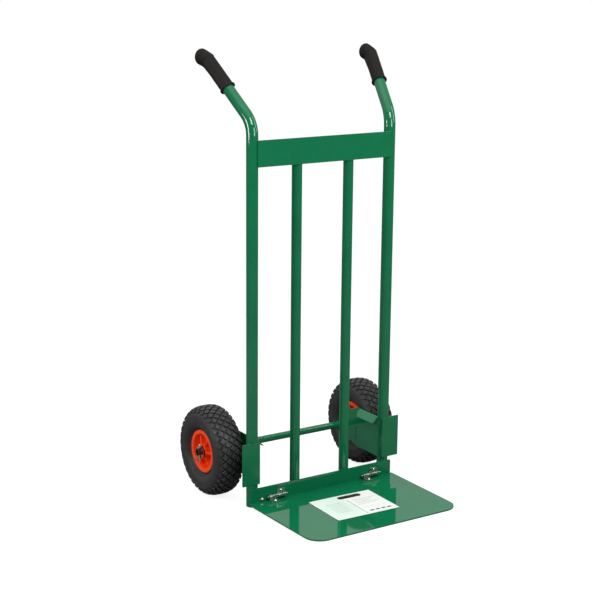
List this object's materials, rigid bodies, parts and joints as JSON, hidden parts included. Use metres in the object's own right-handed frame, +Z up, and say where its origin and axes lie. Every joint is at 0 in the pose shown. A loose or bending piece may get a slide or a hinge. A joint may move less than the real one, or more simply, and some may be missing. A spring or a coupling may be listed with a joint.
{
  "type": "hand truck",
  "caption": "Two-wheeled hand truck: tubular steel frame with leaned-back handles, pneumatic wheels and a toe plate that folds up on hinges.",
  "frame": {"origin": "on the floor, under the middle of the overall box", "axes": "+Z up; -Y the side that the toe plate reaches out on, +Y the side of the wheels; X along the axle, +X at the right of someone facing the front of the truck"},
  "size_m": [0.608, 0.6246, 1.2416],
  "materials": {
    "green_paint": "gloss enamel on steel",
    "zinc_plate": "bright zinc plated",
    "hub_steel": "bare oiled steel",
    "grip_rubber": "matt",
    "tyre_rubber": "moulded, matt",
    "tube_rubber": "matt",
    "rim_paint": "gloss powder coat",
    "label_film": "satin film"
  },
  "bodies": {
    "frame": {"axle": "green_paint", "axle_spacers": "green_paint", "axle_washers": "zinc_plate", "base_flange": "green_paint", "flange_nuts": "zinc_plate", "hinge_bolts": "zinc_plate", "left_bar": "green_paint", "left_grip": "grip_rubber", "left_hinge_flange_leaf": "green_paint", "left_hinge_pin": "green_paint", "left_split_pin": "zinc_plate", "left_upright": "green_paint", "left_wheel_bracket": "green_paint", "left_wing_plate": "green_paint", "right_bar": "green_paint", "right_grip": "grip_rubber", "right_hinge_flange_leaf": "green_paint", "right_hinge_pin": "green_paint", "right_split_pin": "zinc_plate", "right_upright": "green_paint", "right_wheel_bracket": "green_paint", "right_wing_plate": "green_paint", "stop_bolt": "zinc_plate", "top_plate": "green_paint"},
    "toe_plate": {"toe_plate": "green_paint", "left_hinge_plate_leaf": "green_paint", "right_hinge_plate_leaf": "green_paint", "hinge_rivets": "zinc_plate", "blank_label": "label_film"},
    "left_wheel": {"left_tyre": "tyre_rubber", "left_inner_tube": "tube_rubber", "left_rim_outer": "rim_paint", "left_rim_inner": "rim_paint", "left_hub_sleeve": "hub_steel", "left_rim_screws": "zinc_plate", "left_valve": "tube_rubber"},
    "right_wheel": {"right_tyre": "tyre_rubber", "right_inner_tube": "tube_rubber", "right_rim_outer": "rim_paint", "right_rim_inner": "rim_paint", "right_hub_sleeve": "hub_steel", "right_rim_screws": "zinc_plate", "right_valve": "tube_rubber"}
  },
  "joints": [
    {"name": "toe_plate_fold", "type": "hinge", "parent": "frame", "child": "toe_plate", "pos_m": [0, 0.0012, 0.02507], "axis": [-1, 0, 0], "range_deg": [0, 90]},
    {"name": "left_wheel_turn", "type": "hinge", "parent": "frame", "child": "left_wheel", "pos_m": [-0.2566, 0.18429, 0.128], "axis": [1, 0, 0], "continuous": true},
    {"name": "right_wheel_turn", "type": "hinge", "parent": "frame", "child": "right_wheel", "pos_m": [0.2566, 0.18429, 0.128], "axis": [1, 0, 0], "continuous": true}
  ]
}
